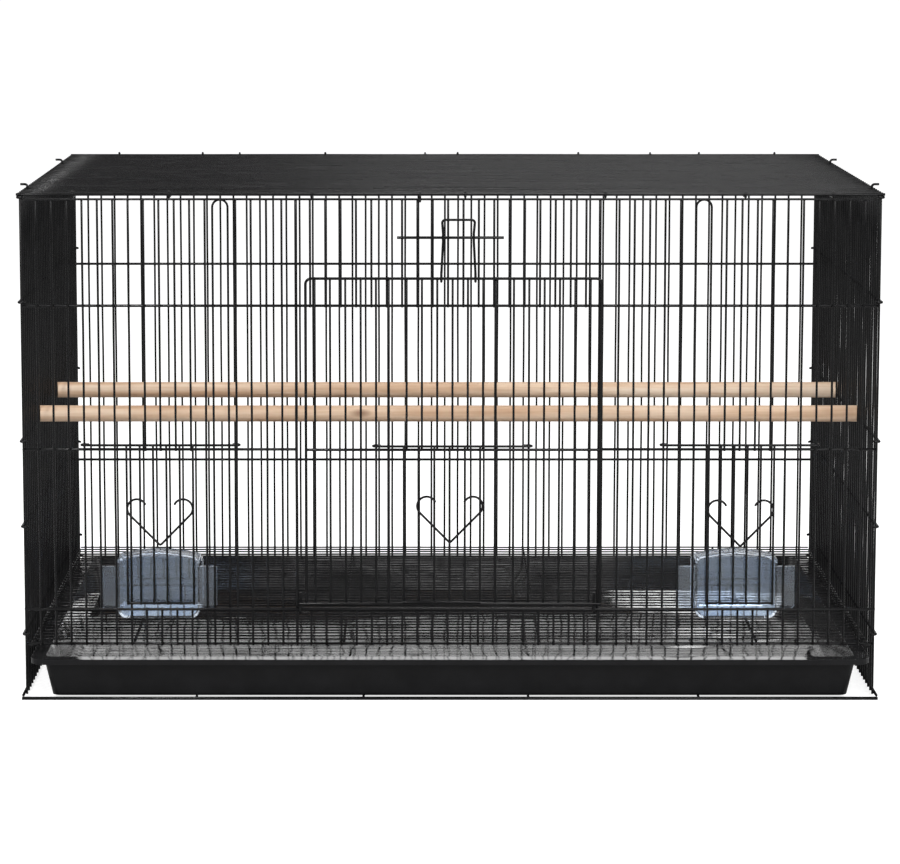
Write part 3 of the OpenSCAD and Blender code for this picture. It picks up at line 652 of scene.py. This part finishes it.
# ---------------------------------------------------------------- sliding doors
def guide_bar(node, x0, x1, y_bar, y_guide, z):
    """A sliding door's bar, whose ends are bent round the guide wires at x0 and x1."""
    y_back = y_guide + WIRE / 2 + GAP + BAR / 2
    r = (y_back - y_bar) / 2
    node.wire(bent([(x0 + 4, y_back, z), (x0 - r, y_back, z), (x0 - r, y_bar, z),
                    (x1 + r, y_bar, z), (x1 + r, y_back, z), (x1 - 4, y_back, z)],
                   [0] + [r - 0.2] * 4 + [0]), BAR)


def heart(node, x, y, z):
    """A heart-shaped pull, open at the top, with the middle of its height at z."""
    w, h, r, tip_r = 58, 41.5, 8.5, 1.5
    cx, cz = w / 2 - r, h - r
    slope = math.atan2(cz, cx) - math.asin(r / math.hypot(cx, cz))
    deg = math.degrees(slope)
    foot = z - h / 2
    right = arc((x + cx, y, foot + cz), (1, 0, 0), (0, 0, 1), r, deg - 90, 156, 18)
    left = [Vector((2 * x - p.x, p.y, p.z)) for p in right]
    rise = tip_r / math.cos(slope)
    tip = arc((x, y, foot + rise), (1, 0, 0), (0, 0, 1), tip_r, 270 - deg, 270 + deg, 6)
    node.wire(left[::-1] + tip + right, WIRE)


WIRE_STEP = (WIRE + BAR) / 2 - WELD
centre_wire_y = y - (RAIL / 2 + GAP + WIRE / 2)
centre_bar_y = centre_wire_y + WIRE_STEP
SLIDE_BAYS = 5
low_z, z = HINGE + 8, HINGE + DOOR_MID + 3.1
jambs_x = door_wire_x(DOOR_JAMBS[0]) + door_wire_x(DOOR_JAMBS[1])
c0 = (jambs_x - SLIDE_BAYS * PITCH) / 2 + DOOR_JAMB_SHIFT
n = Node("centre_door_bars")
guide_bar(n, door_wire_x(4), door_wire_x(14), centre_bar_y, DOOR_WIRE_Y, z)
n.rail_x(c0 - 1, c0 + SLIDE_BAYS * PITCH + 1, centre_wire_y - WIRE_STEP, low_z, BAR)
for k in range(SLIDE_BAYS + 1):
    n.weld((c0 + k * PITCH, centre_wire_y + SLIDE_CROSS, z), AXIS_Y, SLIDE_FILLET)
    n.weld((c0 + k * PITCH, centre_wire_y - SLIDE_CROSS, low_z), AXIS_Y, SLIDE_FILLET)
n.make("centre_door", coat)
n = Node("centre_door_wires")
for k in range(SLIDE_BAYS + 1):
    n.upright(c0 + k * PITCH, centre_wire_y, HINGE + 7, z + 1)
n.make("centre_door", coat)
n = Node("centre_heart_pull", 16)
heart(n, c0 + 2.5 * PITCH + 7, centre_wire_y - WIRE_OUT, HINGE + 82.4)
n.make("centre_door", coat)

slide_y = FRONT - (WIRE / 2 + GAP + BAR / 2)
slide_wire_y = slide_y - WIRE_STEP
for side, bays, guides, shift, rise in (("left", LEFT_BAYS, (4, 14), -3, 79.5),
                                        ("right", RIGHT_BAYS, (42, 52), -1.4, 78.5)):
    body = side + "_feeder_door"
    x0, top, low = bay_x(bays[0]) + shift, FEEDER_TOP + 4.4, HINGE + 5.6
    n = Node(side + "_feeder_door_bars")
    guide_bar(n, bay_x(guides[0]), bay_x(guides[1]), slide_y, FRONT, top)
    n.rail_x(x0 - 1, x0 + SLIDE_BAYS * SLIDE_PITCH + 1, slide_y, low, BAR)
    for k in range(SLIDE_BAYS + 1):
        for z in (top, low):
            n.weld((x0 + k * SLIDE_PITCH, slide_wire_y + SLIDE_CROSS, z), AXIS_Y, SLIDE_FILLET)
    n.make(body, coat)
    n = Node(side + "_feeder_door_wires")
    for k in range(SLIDE_BAYS + 1):
        n.upright(x0 + k * SLIDE_PITCH, slide_wire_y, low - 1, top + 1)
    n.make(body, coat)
    n = Node(side + "_heart_pull", 16)
    heart(n, x0 + 2.5 * SLIDE_PITCH, slide_wire_y - WIRE_OUT, HINGE + rise)
    n.make(body, coat)

# ---------------------------------------------------------------- grate
GRATE_F, GRATE_B = FRONT + 34, BACK - RAIL_OUT - RAIL / 2 - 1


def grate_y(k):
    return GRATE_F + k * (GRATE_B - GRATE_F) / GRATE_ROWS


n = Node("grate_long_wires")
for k in range(GRATE_ROWS + 1):
    n.rail_x(-RUNNER_X, RUNNER_X, grate_y(k), GRATE_Z, GRATE_D, 0.2)
n.make("floor_grate", coat)
GRATE_CROSS_X = (-284, -95, 81, 277)
n = Node("grate_cross_wires")
for x in GRATE_CROSS_X:
    n.rail_y(x, GRATE_F - 1, GRATE_B + 1, GRATE_Z - (GRATE_D + RAIL) / 2 + WELD)
    for k in range(GRATE_ROWS + 1):
        n.weld((x, grate_y(k), GRATE_Z - GRATE_D / 2), AXIS_Z, ROW_FILLET)
n.make("floor_grate", coat)


# ---------------------------------------------------------------- perches, cups and tray
def soft_edges(obj, width):
    """Rounds the sharp edges of a CAD mesh by width, in mm."""
    join = obj.modifiers.new("join", "WELD")
    join.merge_threshold = 0.00002
    edge = obj.modifiers.new("edge", "BEVEL")
    edge.width = width * 0.001
    edge.segments = 3
    edge.limit_method = "ANGLE"
    edge.angle_limit = math.radians(32)
    edge.harden_normals = True


for name, mat, width in (("front_perch", wood, 0.5), ("rear_perch", wood, 0.5),
                         ("left_feeder_cup", clear, 0.45), ("right_feeder_cup", clear, 0.45)):
    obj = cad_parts[name]
    obj.data.materials.clear()
    obj.data.materials.append(mat)
    soft_edges(obj, width)

# The tray is polished inside and satin outside, so it is a copy with a finish for each side
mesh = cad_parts["tray"].data.copy()
mesh.materials.clear()
mesh.materials.append(gloss)
mesh.materials.append(satin)
for face in mesh.polygons:
    face.material_index = 0 if face.normal.z > 0.05 else 1
obj = bpy.data.objects.new("tray_sheet", mesh)
bpy.context.collection.objects.link(obj)
soft_edges(obj, 0.7)
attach(obj, "litter_tray")
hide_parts("tray")

# ---------------------------------------------------------------- stage
FLOOR, FLOOR_GREY, FLOOR_GLOW = 30, 0.62, 0.78
mesh = bpy.data.meshes.new("floor")
corners = [(-FLOOR, -FLOOR, 0), (FLOOR, -FLOOR, 0), (FLOOR, FLOOR, 0), (-FLOOR, FLOOR, 0)]
mesh.from_pydata(corners, [], [(0, 1, 2, 3)])
floor = bpy.data.objects.new("floor", mesh)
bpy.context.collection.objects.link(floor)
m, nt, b = new_material("white_floor")
b.inputs["Base Color"].default_value = (FLOOR_GREY, FLOOR_GREY, FLOOR_GREY, 1)
b.inputs["Roughness"].default_value = 1
b.inputs["Specular IOR Level"].default_value = 0
path = nt.nodes.new("ShaderNodeLightPath")
scale = nt.nodes.new("ShaderNodeMath")
scale.operation = "MULTIPLY"
scale.inputs[1].default_value = FLOOR_GLOW
nt.links.new(to_the_eye(nt, path), scale.inputs[0])
nt.links.new(scale.outputs[0], b.inputs["Emission Strength"])
b.inputs["Emission Color"].default_value = (1, 1, 1, 1)
mesh.materials.append(m)

# White behind the object and behind glass; for gloss a white band low down, and dimmer above
world = bpy.data.worlds.new("world")
bpy.context.scene.world = world
world.use_nodes = True
nt = world.node_tree
bg = nt.nodes["Background"]
path = nt.nodes.new("ShaderNodeLightPath")
co = nt.nodes.new("ShaderNodeTexCoord")
split = nt.nodes.new("ShaderNodeSeparateXYZ")
nt.links.new(co.outputs["Generated"], split.inputs[0])
LOW_SKY, OPEN_SKY = [(0.0, 0.3), (0.1, 0.35), (0.17, 1.0), (0.32, 1.0), (0.56, 0.14)], 0.42
low = ramp(nt, split.outputs[2], LOW_SKY)
pick = nt.nodes.new("ShaderNodeMix")
pick.inputs[2].default_value = OPEN_SKY
nt.links.new(path.outputs["Is Glossy Ray"], pick.inputs[0])
nt.links.new(low, pick.inputs[3])
last = nt.nodes.new("ShaderNodeMix")
last.inputs[3].default_value = 1.0
nt.links.new(to_the_eye(nt, path), last.inputs[0])
nt.links.new(pick.outputs[0], last.inputs[2])
nt.links.new(last.outputs[0], bg.inputs["Strength"])
bg.inputs["Color"].default_value = (1, 1, 1, 1)


def lamp(name, at, target, size, size_y, watts):
    data = bpy.data.lights.new(name, "AREA")
    data.shape = "RECTANGLE"
    data.size, data.size_y, data.energy = size, size_y, watts
    obj = bpy.data.objects.new(name, data)
    obj.location = at
    obj.rotation_euler = (Vector(target) - Vector(at)).to_track_quat("-Z", "Y").to_euler()
    bpy.context.collection.objects.link(obj)


lamp("key", (-1.5, -2.3, 2.3), (0, 0, 0.2), 0.3, 0.3, 46)
lamp("fill", (1.3, -3.2, 1.9), (0, 0, 0.2), 1.6, 1.0, 74)
lamp("top", (0.2, 0.3, 2.6), (0, 0, 0.2), 0.9, 0.5, 24)
bpy.context.scene.view_settings.view_transform = "Standard"
